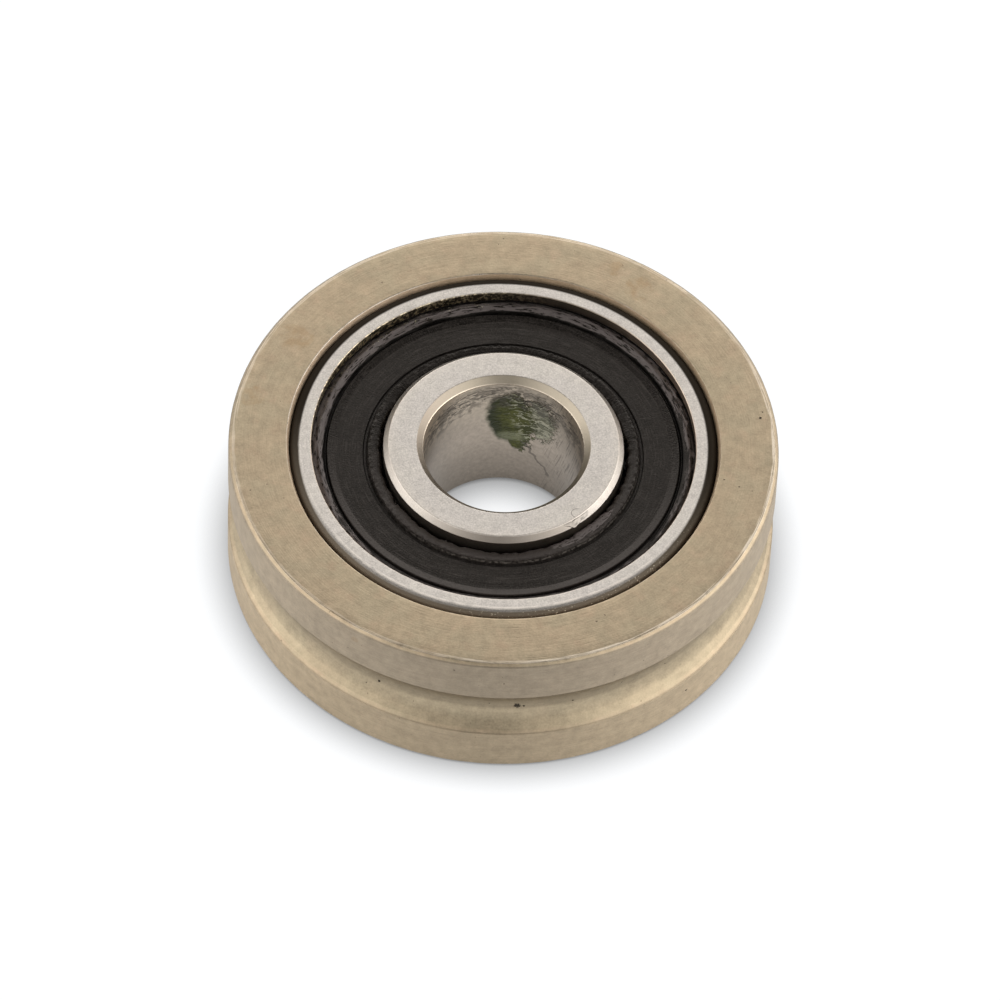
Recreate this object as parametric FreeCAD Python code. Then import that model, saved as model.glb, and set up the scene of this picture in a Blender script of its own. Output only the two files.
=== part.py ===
import FreeCAD, Part
import math
import os

# A small grooved roller on a sealed deep-groove ball bearing, in millimetres.
# +Z is the axis of rotation, and the origin is the middle of the bearing.

# ---- the grooved wheel, one turned piece ----
wheel_diameter = 16.3
wheel_width = 5.0
wheel_edge_break = 0.11
wheel_bore_break = 0.03
groove_width = 1.84
groove_lip_break = 0.12
groove_flank_tilt = 35.0
groove_root_radius = 1.04

# ---- the bearing's boundary sizes: 3/16 inch bore, 1/2 inch outside, 0.196 inch wide ----
bearing_bore = 4.7625
bearing_diameter = 12.7
bearing_width = 4.978

# ---- balls and races ----
ball_diameter = 2.38125
ball_count = 7
ball_race_clearance = 0.02
race_groove_share = 0.54
inner_shoulder_height = 0.415
outer_shoulder_height = 0.416

# ---- ring edges ----
outer_ring_corner = 0.28
outer_ring_mouth_break = 0.04
inner_ring_bore_break = 0.2
inner_ring_land_corner = 0.15

# ---- the pressed ribbon cage and its rivets ----
cage_sheet = 0.2
cage_band_width = 0.99
cage_pocket_clearance = 0.03
rivet_margin = 0.16
rivet_shank_share = 0.55
rivet_head_height = 0.12
rivet_hole_clearance = 0.01

# ---- the seals: rubber moulded over a pressed steel washer ----
seal_running_gap = 0.18
seal_lip_clearance = 0.05
seal_rim_wall = 0.65
seal_groove_depth = 0.18
seal_groove_height = 0.42
seal_groove_slope = 0.13
seal_edge_clearance = 0.02
insert_thickness = 0.2
insert_edge_gap = 0.05
insert_flange_height = 0.1
insert_flange_width = 0.17
insert_lip_margin = 0.32
rubber_skin = 0.18
bead_rise = 0.17
bead_width = 0.26
moat_width = 0.1
shoulder_width = 0.3
shoulder_rise = 0.1
ridge_rise = 0.13
ridge_fall = 0.05
ridge_width = 0.32
ridge_wall = 0.07
lip_groove_width = 0.09
lip_groove_depth = 0.06
lip_groove_slope = 0.03
lip_edge_height = 0.18
lip_taper = 0.14

# ---- worked out from the sizes above ----
wheel_radius = wheel_diameter / 2
bearing_radius = bearing_diameter / 2
bore_radius = bearing_bore / 2
half_bearing = bearing_width / 2
ball_radius = ball_diameter / 2
pitch_radius = (bearing_bore + bearing_diameter) / 4
race_radius = race_groove_share * ball_diameter
inner_race_bottom = pitch_radius - ball_radius - ball_race_clearance
outer_race_bottom = pitch_radius + ball_radius + ball_race_clearance
inner_land = inner_race_bottom + inner_shoulder_height
outer_land = outer_race_bottom - outer_shoulder_height
pocket_radius = ball_radius + cage_pocket_clearance
dome_radius = pocket_radius + cage_sheet
seal_back = dome_radius + seal_running_gap
insert_top = seal_back + insert_thickness
seal_face = insert_top + rubber_skin
seal_seat = bearing_radius - seal_rim_wall
lip_radius = inner_land + seal_lip_clearance

CENTRE = FreeCAD.Vector(0, 0, 0)
AXIS = FreeCAD.Vector(0, 0, 1)


def edge(points):
    """A straight edge between two (radius, height) points, or an arc through three."""
    spots = [FreeCAD.Vector(r, 0, z) for r, z in points]
    if len(spots) == 2:
        return Part.LineSegment(*spots).toShape()
    return Part.Arc(*spots).toShape()


def run(*points):
    """Straight edges from each point to the next."""
    return list(zip(points, points[1:]))


def rounded(corner, radius, back, onward):
    """A quarter arc that takes off a square corner; back and onward are unit steps along its two sides."""
    start = [c + radius * b for c, b in zip(corner, back)]
    end = [c + radius * o for c, o in zip(corner, onward)]
    reach = radius * (1 - math.sqrt(0.5))
    through = [c + reach * (b + o) for c, b, o in zip(corner, back, onward)]
    return tuple(start), tuple(through), tuple(end)


def level_arc(start, across, up):
    """An arc that leaves its start level and ends the given distances across and up from it."""
    bend = (across**2 + up**2) / (2 * up)
    half_turn = math.atan2(up, across)
    through = (start[0] + bend * math.sin(half_turn), start[1] + bend * (1 - math.cos(half_turn)))
    return start, through, (start[0] + across, start[1] + up)


def turned(section):
    """The ring swept by a closed half section, a list of edges in any order."""
    wire = Part.Wire(Part.__sortEdges__([edge(points) for points in section]))
    return Part.Face(wire).revolve(CENTRE, AXIS, 360).removeSplitter()


def turned_both_ways(upper):
    """A ring that is the same above and below its mid plane, from the upper part of its section."""
    lower = [[(r, -z) for r, z in points] for points in upper]
    return turned(upper + lower)


def race_arc(centre, bottom, land):
    """The upper half of a ball race's section, from its bottom on the mid plane up to the land."""
    rise = math.sqrt(race_radius**2 - (land - centre) ** 2)
    side = 1 if bottom > centre else -1
    half_turn = math.asin(rise / race_radius) / 2
    through = (centre + side * race_radius * math.cos(half_turn), race_radius * math.sin(half_turn))
    return (bottom, 0), through, (land, rise)


def make_wheel():
    """The rim, with a V groove whose straight flanks run into a round root."""
    tilt = math.radians(groove_flank_tilt)
    lip = (wheel_radius - groove_lip_break, groove_width / 2 - groove_lip_break)
    tangent_height = groove_root_radius * math.sin(tilt)
    tangent = (lip[0] - (lip[1] - tangent_height) * math.tan(tilt), tangent_height)
    root = tangent[0] - groove_root_radius * (1 - math.cos(tilt))
    through = (
        root + groove_root_radius * (1 - math.cos(tilt / 2)),
        groove_root_radius * math.sin(tilt / 2),
    )
    top = wheel_width / 2
    sides = run(
        tangent,
        lip,
        (wheel_radius, groove_width / 2),
        (wheel_radius, top - wheel_edge_break),
        (wheel_radius - wheel_edge_break, top),
        (bearing_radius + wheel_bore_break, top),
        (bearing_radius, top - wheel_bore_break),
        (bearing_radius, 0),
    )
    return turned_both_ways([((root, 0), through, tangent)] + sides)


def make_outer_ring():
    """The outer race, with a step and an undercut at each end that hold a seal."""
    race = race_arc(outer_race_bottom - race_radius, outer_race_bottom, outer_land)
    undercut = seal_seat + seal_groove_depth
    undercut_top = seal_back + seal_groove_height
    inside = run(
        race[-1],
        (outer_land, seal_back),
        (undercut, seal_back),
        (undercut, undercut_top),
        (seal_seat, undercut_top + seal_groove_slope),
        (seal_seat, half_bearing - outer_ring_mouth_break),
        (seal_seat + outer_ring_mouth_break, half_bearing),
    )
    corner = rounded((bearing_radius, half_bearing), outer_ring_corner, (-1, 0), (0, -1))
    face = run(inside[-1][1], corner[0])
    outside = run(corner[2], (bearing_radius, 0))
    return turned_both_ways([race] + inside + face + [corner] + outside)


def make_inner_ring():
    """The inner race, bored for the axle."""
    race = race_arc(inner_race_bottom + race_radius, inner_race_bottom, inner_land)
    land_corner = rounded((inner_land, half_bearing), inner_ring_land_corner, (0, -1), (-1, 0))
    inside = run(
        land_corner[2],
        (bore_radius + inner_ring_bore_break, half_bearing),
        (bore_radius, half_bearing - inner_ring_bore_break),
        (bore_radius, 0),
    )
    return turned_both_ways([race, land_corner] + run(race[-1], land_corner[0]) + inside)


def make_insert():
    """The steel washer inside the upper seal, with its outer edge turned up."""
    inside = lip_radius + insert_lip_margin
    outside = outer_land - insert_edge_gap
    flange = outside - insert_flange_width
    return turned(
        run(
            (inside, seal_back),
            (outside, seal_back),
            (outside, insert_top + insert_flange_height),
            (flange, insert_top + insert_flange_height),
            (flange, insert_top),
            (inside, insert_top),
            (inside, seal_back),
        )
    )


def make_seal(insert):
    """The upper seal's rubber: a bead snapped into the ring, a sunk flat face, a groove and a raised lip."""
    edge_radius = seal_seat + seal_groove_depth - seal_edge_clearance
    bead_top = seal_face + bead_rise
    bead_foot = seal_face + bead_rise / 2
    bead_inside = seal_seat - seal_edge_clearance - bead_width
    shoulder = bead_inside - moat_width
    flat_edge = shoulder - shoulder_width
    ridge_top = seal_face + ridge_rise
    ridge_outside = lip_radius + lip_taper / 2 + ridge_width
    ridge_foot = ridge_outside + ridge_wall
    groove_floor = seal_face - lip_groove_depth
    bead = (
        (seal_seat - seal_edge_clearance, bead_foot),
        (seal_seat - seal_edge_clearance - bead_width / 2, bead_top),
        (bead_inside, bead_foot),
    )
    rise = level_arc((flat_edge, seal_face), shoulder_width, shoulder_rise)
    moat = run(bead[2], (shoulder + moat_width / 2, seal_face), rise[2])
    lip = run(
        rise[0],
        (ridge_foot + lip_groove_width, seal_face),
        (ridge_foot + lip_groove_width - lip_groove_slope, groove_floor),
        (ridge_foot, groove_floor),
        (ridge_outside, ridge_top),
        (lip_radius + lip_taper / 2, ridge_top - ridge_fall),
        (lip_radius, ridge_top - lip_taper),
        (lip_radius, seal_back + lip_edge_height),
        (lip_radius + lip_taper, seal_back),
        (edge_radius, seal_back),
        (edge_radius, seal_back + seal_groove_height - seal_groove_slope / 2),
        bead[0],
    )
    return turned([bead, rise] + moat + lip).cut(insert)


def ball_angle(number):
    """Where the numbered ball stands round the axis, in degrees, ball 1 on +X."""
    return 360.0 * (number - 1) / ball_count


def gap_angle(number):
    """Halfway from the numbered ball to the next, in degrees."""
    return ball_angle(number + 0.5)


def on_pitch_circle(angle):
    """The point of the balls' circle at an angle in degrees."""
    turn = math.radians(angle)
    return FreeCAD.Vector(pitch_radius * math.cos(turn), pitch_radius * math.sin(turn), 0)


def rivet_radius():
    """Shank radius of a rivet that clears the pockets on both sides and the band's edges."""
    spacing = 2 * pitch_radius * math.sin(math.pi / ball_count)
    room = min(spacing - 2 * dome_radius, cage_band_width)
    return rivet_shank_share * (room / 2 - rivet_margin)


def make_cage_half():
    """The upper half of the ribbon cage: a flat band pressed up into a part-sphere over each ball."""
    band_in = pitch_radius - cage_band_width / 2
    band_out = pitch_radius + cage_band_width / 2
    band = Part.makeCylinder(band_out, cage_sheet).cut(Part.makeCylinder(band_in, cage_sheet))
    reach = Part.makeCylinder(band_out, dome_radius).cut(Part.makeCylinder(band_in, dome_radius))
    numbers = range(1, ball_count + 1)
    domes = [Part.makeSphere(dome_radius, on_pitch_circle(ball_angle(n))) for n in numbers]
    half = band.fuse([dome.common(reach) for dome in domes])
    pockets = [Part.makeSphere(pocket_radius, on_pitch_circle(ball_angle(n))) for n in numbers]
    hole = rivet_radius() + rivet_hole_clearance
    holes = [Part.makeCylinder(hole, cage_sheet, on_pitch_circle(gap_angle(n))) for n in numbers]
    return half.cut(pockets + holes).removeSplitter()


def make_rivet(number):
    """A rivet with a low domed head, part of a sphere, on each side of the cage."""
    shank = rivet_radius()
    head = shank / rivet_shank_share
    dome_top = cage_sheet + rivet_head_height
    dome = level_arc((0, dome_top), head, -rivet_head_height)
    upper = [dome] + run((shank, 0), (shank, cage_sheet), dome[2])
    lower = [[(r, -z) for r, z in points] for points in upper]
    rivet = turned(upper + lower + run((0, dome_top), (0, -dome_top)))
    rivet.translate(on_pitch_circle(gap_angle(number)))
    return rivet


def below(upper):
    """The same piece turned over to the other side of the mid plane."""
    return upper.mirror(CENTRE, AXIS)


def build():
    """Every piece, by the name of its node."""
    insert = make_insert()
    seal = make_seal(insert)
    cage_half = make_cage_half()
    nodes = {
        "wheel": make_wheel(),
        "outer_ring": make_outer_ring(),
        "inner_ring": make_inner_ring(),
        "upper_seal": seal,
        "lower_seal": below(seal),
        "upper_seal_insert": insert,
        "lower_seal_insert": below(insert),
        "cage_upper_half": cage_half,
        "cage_lower_half": below(cage_half),
    }
    for number in range(1, ball_count + 1):
        centre = on_pitch_circle(ball_angle(number))
        nodes[f"ball_{number}"] = Part.makeSphere(ball_radius, centre)
        nodes[f"cage_rivet_{number}"] = make_rivet(number)
    return nodes


os.makedirs("parts", exist_ok=True)
for name, shape in build().items():
    if shape.ShapeType != "Solid":
        shape = shape.Solids[0]
    shape.exportStep(f"parts/{name}.step")
    print(f"{name}: volume {shape.Volume:.4f} mm3, valid {shape.isValid()}")
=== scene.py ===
import math

import bpy
import numpy as np
from mathutils import Matrix, Vector


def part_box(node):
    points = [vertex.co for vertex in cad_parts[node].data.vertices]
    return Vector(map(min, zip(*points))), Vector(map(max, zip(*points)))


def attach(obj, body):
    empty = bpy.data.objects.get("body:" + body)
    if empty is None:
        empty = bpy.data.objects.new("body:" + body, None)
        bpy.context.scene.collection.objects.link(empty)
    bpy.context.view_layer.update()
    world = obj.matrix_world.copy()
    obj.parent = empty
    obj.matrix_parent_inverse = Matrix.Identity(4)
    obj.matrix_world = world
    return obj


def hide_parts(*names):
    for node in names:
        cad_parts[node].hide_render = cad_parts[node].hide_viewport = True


# The looks of a small grooved steel wheel on a sealed ball bearing. The CAD frame gives the overall
# sizes. Section sizes are in millimetres, as the shop drawing has them, and meshes are in metres.
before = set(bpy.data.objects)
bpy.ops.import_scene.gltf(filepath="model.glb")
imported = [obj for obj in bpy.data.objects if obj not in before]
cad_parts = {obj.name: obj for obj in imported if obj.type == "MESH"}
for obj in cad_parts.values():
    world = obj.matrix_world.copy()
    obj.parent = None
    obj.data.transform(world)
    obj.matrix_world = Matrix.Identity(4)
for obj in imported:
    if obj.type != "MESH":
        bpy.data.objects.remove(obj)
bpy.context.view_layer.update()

MM = 0.001
FULL_TURN = 2 * math.pi


# ---------------- sizes

def node_points(node):
    """A CAD node's vertices as an array, in millimetres."""
    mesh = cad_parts[node].data
    places = np.zeros(len(mesh.vertices) * 3)
    mesh.vertices.foreach_get("co", places)
    return places.reshape(-1, 3) / MM


def reach(node):
    """The largest radius and height of a CAD node, in millimetres."""
    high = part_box(node)[1]
    return high.x / MM, high.z / MM


def bore_radius(node):
    """The smallest distance from the axis to a CAD node, in millimetres."""
    return np.hypot(*node_points(node)[:, :2].T).min()


rim_radius, rim_half = reach("wheel")
ring_radius, ring_half = reach("outer_ring")
land_radius = reach("inner_ring")[0]
axle_radius = bore_radius("inner_ring")
shoulder_radius = bore_radius("outer_ring")
seal_radius, seal_top = reach("upper_seal")
seal_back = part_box("upper_seal")[0].z / MM
lip_radius = bore_radius("upper_seal")
insert_radius, insert_top = reach("upper_seal_insert")
insert_bore = bore_radius("upper_seal_insert")

# the rim
edge_break = 0.11
bore_break = 0.08
bore_lead = 0.2
groove_half = 0.92
lip_break = 0.12
flank_tilt = math.radians(35)
root_radius = 1.04
worn_edge = 0.025

# the rings
outer_corner = 0.28
mouth_break = 0.02
mouth_ease = 0.012
seal_wall = 0.65
undercut_depth = 0.18
undercut_height = 0.42
undercut_slope = 0.13
land_break = 0.16
axle_break = 0.2
ball_radius = reach("ball_1")[1]
pitch_radius = reach("ball_1")[0] - ball_radius
race_radius = 1.08 * ball_radius
race_clearance = 0.02

# the seals
seal_face = 1.981
bead_width = 0.33
bead_rise = 0.17
moat_width = 0.13
moat_depth = 0.05
shoulder_width = 0.22
shoulder_rise = 0.05
ridge_rise = 0.13
ridge_fall = 0.05
ridge_width = 0.32
ridge_wall = 0.07
groove_width = 0.09
groove_depth = 0.06
lip_taper = 0.14
lip_edge = 0.18
edge_clearance = 0.02
bead_middle = ring_radius - seal_wall - 0.19
moat_middle = ring_radius - seal_wall - edge_clearance - bead_width - moat_width / 2
ridge_out = lip_radius + lip_taper / 2 + ridge_width
lifted_at = 312  # where the lip is lifted, in degrees round the axis
lattice_reach = 7  # how far out the seal's noise lattices reach

# the seal inserts and the rivets
insert_thickness = 0.2
insert_flange = 0.17
sheet = 0.2
rivet_shank = 0.148
rivet_head = 0.269
rivet_dome = 0.12


# ---------------- surfaces worked out on grids

def unit(rows):
    """Each row over its own length."""
    return rows / np.maximum(np.linalg.norm(rows, axis=-1, keepdims=True), 1e-12)


def outline(corners, longest=0.3, arc_step=15):
    """A closed section of straight runs between corners, each row a radius, a height and an ease.

    A corner is replaced by the arc of its ease that touches both of its runs. The runs are divided
    into steps of at most the longest, with a short step at each end that keeps the shading crisp.
    """
    rows = np.array(corners, float)
    spots, ease = rows[:, :2], rows[:, 2]
    to_last = unit(np.roll(spots, 1, 0) - spots)
    to_next = unit(np.roll(spots, -1, 0) - spots)
    half = np.arccos(np.clip((to_last * to_next).sum(1), -1, 1)) / 2
    touch = (ease / np.tan(np.maximum(half, 1e-3)))[:, None]
    starts, ends = spots + to_last * touch, spots + to_next * touch
    centres = spots + unit(to_last + to_next) * (ease / np.sin(np.maximum(half, 1e-3)))[:, None]
    pieces = []
    for n, radius in enumerate(ease):
        if radius > 0:
            first = math.atan2(*(starts[n] - centres[n])[::-1])
            last = math.atan2(*(ends[n] - centres[n])[::-1])
            turn = (last - first + math.pi) % FULL_TURN - math.pi
            angles = first + turn * np.linspace(0, 1, max(3, round(abs(math.degrees(turn)) / arc_step) + 1))
            pieces.append(centres[n] + radius * np.stack([np.cos(angles), np.sin(angles)], 1))
        else:
            pieces.append(spots[n:n + 1])
        onward = starts[(n + 1) % len(spots)] - ends[n]
        length = np.linalg.norm(onward)
        guard = min(0.03, length / 4)
        if length > 0.02:
            steps = max(1, math.ceil((length - 2 * guard) / longest))
            shares = np.linspace(guard, length - guard, steps + 1) / length
            pieces.append(ends[n] + shares[:, None] * onward)
    section = np.concatenate(pieces)
    after = np.roll(section, -1, 0)
    area = (section[:, 0] * after[:, 1] - after[:, 0] * section[:, 1]).sum()
    return section if area > 0 else section[::-1]


def mirrored(corners):
    """The same corners on the lower side, in the order that goes on round the section."""
    return [(r, -z, ease) for r, z, ease in corners[::-1]]


def section_normals(section):
    """The outward normal of a closed section that runs anticlockwise: its tangent turned a quarter back."""
    tangent = unit(np.roll(section, -1, 0) - np.roll(section, 1, 0))
    return np.stack([tangent[:, 1], -tangent[:, 0]], 1)


def wander(turns, along, cells_round, cells_along, seed):
    """Smooth noise from 0 to 1: random values on a lattice, eased by 3t^2 - 2t^3 between neighbours.

    The lattice closes round the turn, so the noise has no seam there.
    """
    values = np.random.default_rng(seed).random((cells_round, cells_along + 1))
    u = turns / FULL_TURN * cells_round
    v = np.clip(along, 0, 1) * cells_along * 0.9999
    i, j = np.floor(u).astype(int), np.floor(v).astype(int)
    a, b = u - i, v - j
    a, b = a * a * (3 - 2 * a), b * b * (3 - 2 * b)
    low = values[i % cells_round, j] * (1 - a) + values[(i + 1) % cells_round, j] * a
    high = values[i % cells_round, j + 1] * (1 - a) + values[(i + 1) % cells_round, j + 1] * a
    return low * (1 - b) + high * b


def on_circles(r, turns, z):
    """The points (r cos a, r sin a, z) at turns a."""
    return np.stack([r * np.cos(turns), r * np.sin(turns), z + 0 * r * turns], -1)


def close_to(r, z, radius, height, width):
    """1 at a circle of the section and falling off as a bell of that width away from it."""
    return np.exp(-((r - radius) ** 2 + (z - height) ** 2) / width ** 2)


def toward(turns, degrees, spread):
    """1 in one direction round the axis and falling off as a bell of that spread, in degrees."""
    apart = (np.degrees(turns) - degrees + 180) % 360 - 180
    return np.exp(-((apart / spread) ** 2))


def grid_quads(rounds, across, closed=False):
    """The faces of a grid of points that closes round its first way, and maybe its second."""
    index = np.arange(rounds * across).reshape(rounds, across)
    if closed:
        index = np.concatenate([index, index[:, :1]], 1)
    onward = np.roll(index, -1, 0)
    return np.stack([index[:, :-1], onward[:, :-1], onward[:, 1:], index[:, 1:]], -1).reshape(-1, 4)


def smooth_mesh(name, points, faces):
    """A smooth mesh from points in millimetres."""
    mesh = bpy.data.meshes.new(name)
    mesh.from_pydata(points.reshape(-1, 3) * MM, [], faces)
    mesh.shade_smooth()
    return mesh


def put_in_scene(name, data):
    """A new object at the origin."""
    thing = bpy.data.objects.new(name, data)
    bpy.context.scene.collection.objects.link(thing)
    return thing


def add_piece(name, mesh, body, node=None):
    """A new piece that rides on a body and may stand for a CAD node."""
    piece = put_in_scene(name, mesh)
    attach(piece, body)
    if node:
        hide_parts(node)
    return piece


def turned(name, section, divisions, body, node, relief=None, marks=None):
    """A ring: section point (r, z) at turn a lies at (r cos a, r sin a, z).

    The section first moves out along its normal by relief(a, r, z, share along the section), in
    millimetres. marks(a, r, z, share) gives values that the finish reads at each point.
    """
    turns = np.arange(divisions)[:, None] * FULL_TURN / divisions
    r, z = section[None, :, 0], section[None, :, 1]
    lengths = np.linalg.norm(np.diff(section, axis=0, append=section[:1]), axis=1)
    share = ((np.cumsum(lengths) - lengths) / lengths.sum())[None, :]
    rise = relief(turns, r, z, share) if relief else np.zeros((divisions, len(section)))
    out = section_normals(section)
    radius = r + rise * out[None, :, 0]
    height = z + rise * out[None, :, 1]
    points = on_circles(radius, turns, height)
    mesh = smooth_mesh(name, points, grid_quads(divisions, len(section), closed=True))
    for key, values in (marks(turns, r, z, share) if marks else {}).items():
        layer = mesh.attributes.new(key, "FLOAT", "POINT")
        layer.data.foreach_set("value", np.broadcast_to(values, rise.shape).astype(np.float32).ravel())
    return add_piece(name, mesh, body, node)


def spun(name, profile, divisions, centre, body, node):
    """A round piece about its own upright axis: profile point (r, z) at turn a lies at
    centre + (r cos a, r sin a, z). The profile runs from the bottom pole to the top one, and each
    pole is one point.
    """
    turns = np.arange(divisions)[:, None] * FULL_TURN / divisions
    r, z = profile[None, 1:-1, 0], profile[None, 1:-1, 1]
    points = on_circles(r, turns, z) + centre
    poles = np.array([[0, 0, profile[0, 1]], [0, 0, profile[-1, 1]]]) + centre
    across = points.shape[1]
    low, high = divisions * across, divisions * across + 1
    first = np.arange(0, low, across)
    onward = np.roll(first, -1)
    bottom = np.stack([onward, first, np.full(divisions, low)], -1)
    top = np.stack([first + across - 1, onward + across - 1, np.full(divisions, high)], -1)
    faces = grid_quads(divisions, across).tolist() + bottom.tolist() + top.tolist()
    mesh = smooth_mesh(name, np.concatenate([points.reshape(-1, 3), poles]), faces)
    return add_piece(name, mesh, body, node)


# ---------------- the pieces

def rim_section():
    """The rim's section: two flanges and a V whose flanks run into a round root."""
    lip = rim_radius - lip_break
    lip_height = groove_half - lip_break
    apex = lip - lip_height * math.tan(flank_tilt)
    upper = [
        (lip, lip_height, worn_edge),
        (rim_radius, groove_half, worn_edge),
        (rim_radius, rim_half - edge_break, worn_edge),
        (rim_radius - edge_break, rim_half, worn_edge),
        (ring_radius + bore_break, rim_half, worn_edge),
        (ring_radius, rim_half - bore_lead, worn_edge),
    ]
    return outline(mirrored(upper) + [(apex, 0, root_radius)] + upper)


def rim_edges(r, z):
    """How near a point of the rim is to each kind of edge: the face's, the groove's and the bore's."""
    z = abs(z)
    face = close_to(r, z, rim_radius - edge_break, rim_half, 0.05)
    flange = close_to(r, z, rim_radius, rim_half - edge_break, 0.04)
    groove = close_to(r, z, rim_radius - lip_break / 2, groove_half - lip_break / 2, 0.08)
    mouth = close_to(r, z, ring_radius + bore_break, rim_half, 0.028)
    return face, flange, groove, mouth


def rim_relief(turns, r, z, share):
    """Small knocks along the edges, the largest on the face's edge, and a waver left by the lathe."""
    face, flange, _, mouth = rim_edges(r, z)
    side = np.sign(z) * 0.25 + 0.5
    dent, dip, waver = 0.014, 0.008, 0.005
    knocks = wander(turns, side, 420, 2, 11) ** 6 * dent + wander(turns, side, 150, 2, 12) ** 2 * dip
    chatter = wander(turns, side, 800, 2, 13) * waver
    return -(knocks + chatter) * (face + 0.7 * flange) - chatter * mouth


def rim_marks(turns, r, z, share):
    """How far each edge is worn bright, uneven along its length, with a painted highlight on the groove's
    lips at the front.
    """
    face, flange, groove, mouth = rim_edges(r, z)
    side = np.sign(z) * 0.25 + 0.5
    patchy = 0.35 + 0.65 * wander(turns, side, 260, 2, 21) * (0.5 + wander(turns, side, 40, 2, 22))
    bright_mouth = mouth * (0.5 + 0.6 * toward(turns, 140, 45))
    painted_lip_highlight = 0.4 * groove * toward(turns, 280, 50)
    bright = 0.42 * face + 0.2 * flange + painted_lip_highlight + bright_mouth
    return {"wear_and_highlight": np.clip(bright * patchy, 0, 1)}


def race_points(centre, bottom, land, heights_up):
    """A ball race's section, an arc of the race radius from one land to the other, as plain corners."""
    rise = math.sqrt(race_radius ** 2 - (land - centre) ** 2)
    side = 1 if bottom > centre else -1
    heights = np.linspace(-rise, rise, 25) * (1 if heights_up else -1)
    return [(centre + side * math.sqrt(race_radius ** 2 - z * z), z, 0) for z in heights]


def outer_ring_section():
    """The outer ring: a deep race inside, and at each end the undercut that holds a seal's bead."""
    seat = ring_radius - seal_wall
    undercut = seat + undercut_depth
    bottom = pitch_radius + ball_radius + race_clearance
    upper = [
        (ring_radius, ring_half, outer_corner),
        (seat + mouth_break, ring_half, mouth_ease),
        (seat, ring_half - mouth_break, mouth_ease),
        (seat, seal_back + undercut_height + undercut_slope, 0.02),
        (undercut, seal_back + undercut_height, 0.02),
        (undercut, seal_back, 0.02),
        (shoulder_radius, seal_back, 0.03),
    ]
    race = race_points(bottom - race_radius, bottom, shoulder_radius, heights_up=False)
    return outline(upper + race + mirrored(upper))


def inner_ring_section():
    """The inner ring: a deep race outside and the axle's bore inside."""
    bottom = pitch_radius - ball_radius - race_clearance
    race = race_points(bottom + race_radius, bottom, land_radius, heights_up=True)
    upper = [
        (land_radius, ring_half - land_break, 0.03),
        (land_radius - land_break, ring_half, 0.015),
        (axle_radius + axle_break, ring_half, 0.02),
        (axle_radius, ring_half - axle_break, 0.02),
    ]
    return outline(race + upper + mirrored(upper))


def ring_relief(turns, r, z, share):
    """The ground rings' edges, uneven by a few hundredths of a millimetre."""
    mouth = close_to(r, abs(z), ring_radius - seal_wall + mouth_break, ring_half, 0.05)
    return -mouth * wander(turns, share, 500, 3, 31) ** 4 * 0.012


def ring_marks(turns, r, z, share):
    """Bright wear on the outer ring's mouth and the inner ring's land corner."""
    mouth = close_to(r, abs(z), ring_radius - seal_wall + mouth_break / 2, ring_half, 0.05)
    land = close_to(r, abs(z), land_radius - land_break, ring_half, 0.04)
    patchy = 0.5 + 0.5 * wander(turns, share, 240, 3, 32)
    return {"wear_and_highlight": np.clip((0.3 * mouth + 0.8 * land) * patchy, 0, 1)}


def seal_section(side):
    """A seal's section: a bead that snaps into the ring, a sunk flat face, and a raised lip."""
    seat = ring_radius - seal_wall - edge_clearance
    bead_foot = seal_face + bead_rise / 2
    shoulder = seat - bead_width - moat_width
    ridge_top = seal_face + ridge_rise
    corners = [
        (seal_radius, seal_back, 0.02),
        (seal_radius, seal_back + undercut_height - undercut_slope / 2, 0.03),
        (seat, bead_foot, 0.02),
        (seat - bead_width / 2, seal_top, 0.09),
        (seat - bead_width, bead_foot, 0.03),
        (shoulder + moat_width / 2, seal_face - moat_depth, 0.02),
        (shoulder, seal_face + shoulder_rise, 0.03),
        (shoulder - shoulder_width, seal_face, 0.12),
        (ridge_out + ridge_wall + groove_width, seal_face, 0.01),
        (ridge_out + ridge_wall + 0.7 * groove_width, seal_face - groove_depth, 0.015),
        (ridge_out + ridge_wall, seal_face - groove_depth, 0.015),
        (ridge_out, ridge_top, 0.03),
        (lip_radius + lip_taper / 2, ridge_top - ridge_fall, 0.04),
        (lip_radius, ridge_top - lip_taper, 0.03),
        (lip_radius, seal_back + lip_edge, 0.02),
        (lip_radius + lip_taper, seal_back, 0.02),
    ]
    return outline([(r, z * side, ease) for r, z, ease in corners], longest=0.07)


def bead_zone(r):
    """1 on the seal's bead and falling off on both sides of it."""
    return np.exp(-(((r - bead_middle) / 0.2) ** 4))


def ridge_zone(r):
    """1 on the outer edge of the ridge round the lip."""
    return np.exp(-(((r - ridge_out) / 0.045) ** 2))


def lip_zone(r, width, fade):
    """1 on the lip and falling to 0 at that width from the seal's bore."""
    return np.clip((lip_radius + width - r) / fade, 0, 1)


def seal_relief(turns, r, z, share):
    """A torn bead, a nicked ridge, a ragged lip and a face that waves a little."""
    proud, tear_depth, band_height, nick_depth = 0.015, 0.10, 0.045, 0.07
    wave_height, lift, lip_tear = 0.01, 0.06, 0.14
    outside = abs(z) > seal_face - 0.1
    out = r / lattice_reach
    tears = wander(turns, out, 80, 110, 41) * wander(turns, out, 34, 60, 42)
    bands = wander(turns, out, 16, 110, 43) - 0.5
    nicks = wander(turns, out, 420, 60, 44) ** 3
    waves = (wander(turns, out, 24, 50, 45) - 0.5) * wave_height
    raised = bead_zone(r) * (proud - tear_depth * tears + band_height * bands)
    raised = raised - ridge_zone(r) * nicks * nick_depth
    lip = np.exp(-(((r - lip_radius) / 0.1) ** 2))
    torn = wander(turns, 0.5 + 0 * r, 110, 2, 46) * wander(turns, 0.5 + 0 * r, 360, 2, 47)
    lifted = toward(turns, lifted_at, 14) * lip_zone(r, 0.4, 0.4) * lift
    return np.where(outside, raised + waves + lifted, 0) - lip * torn * lip_tear


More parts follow.
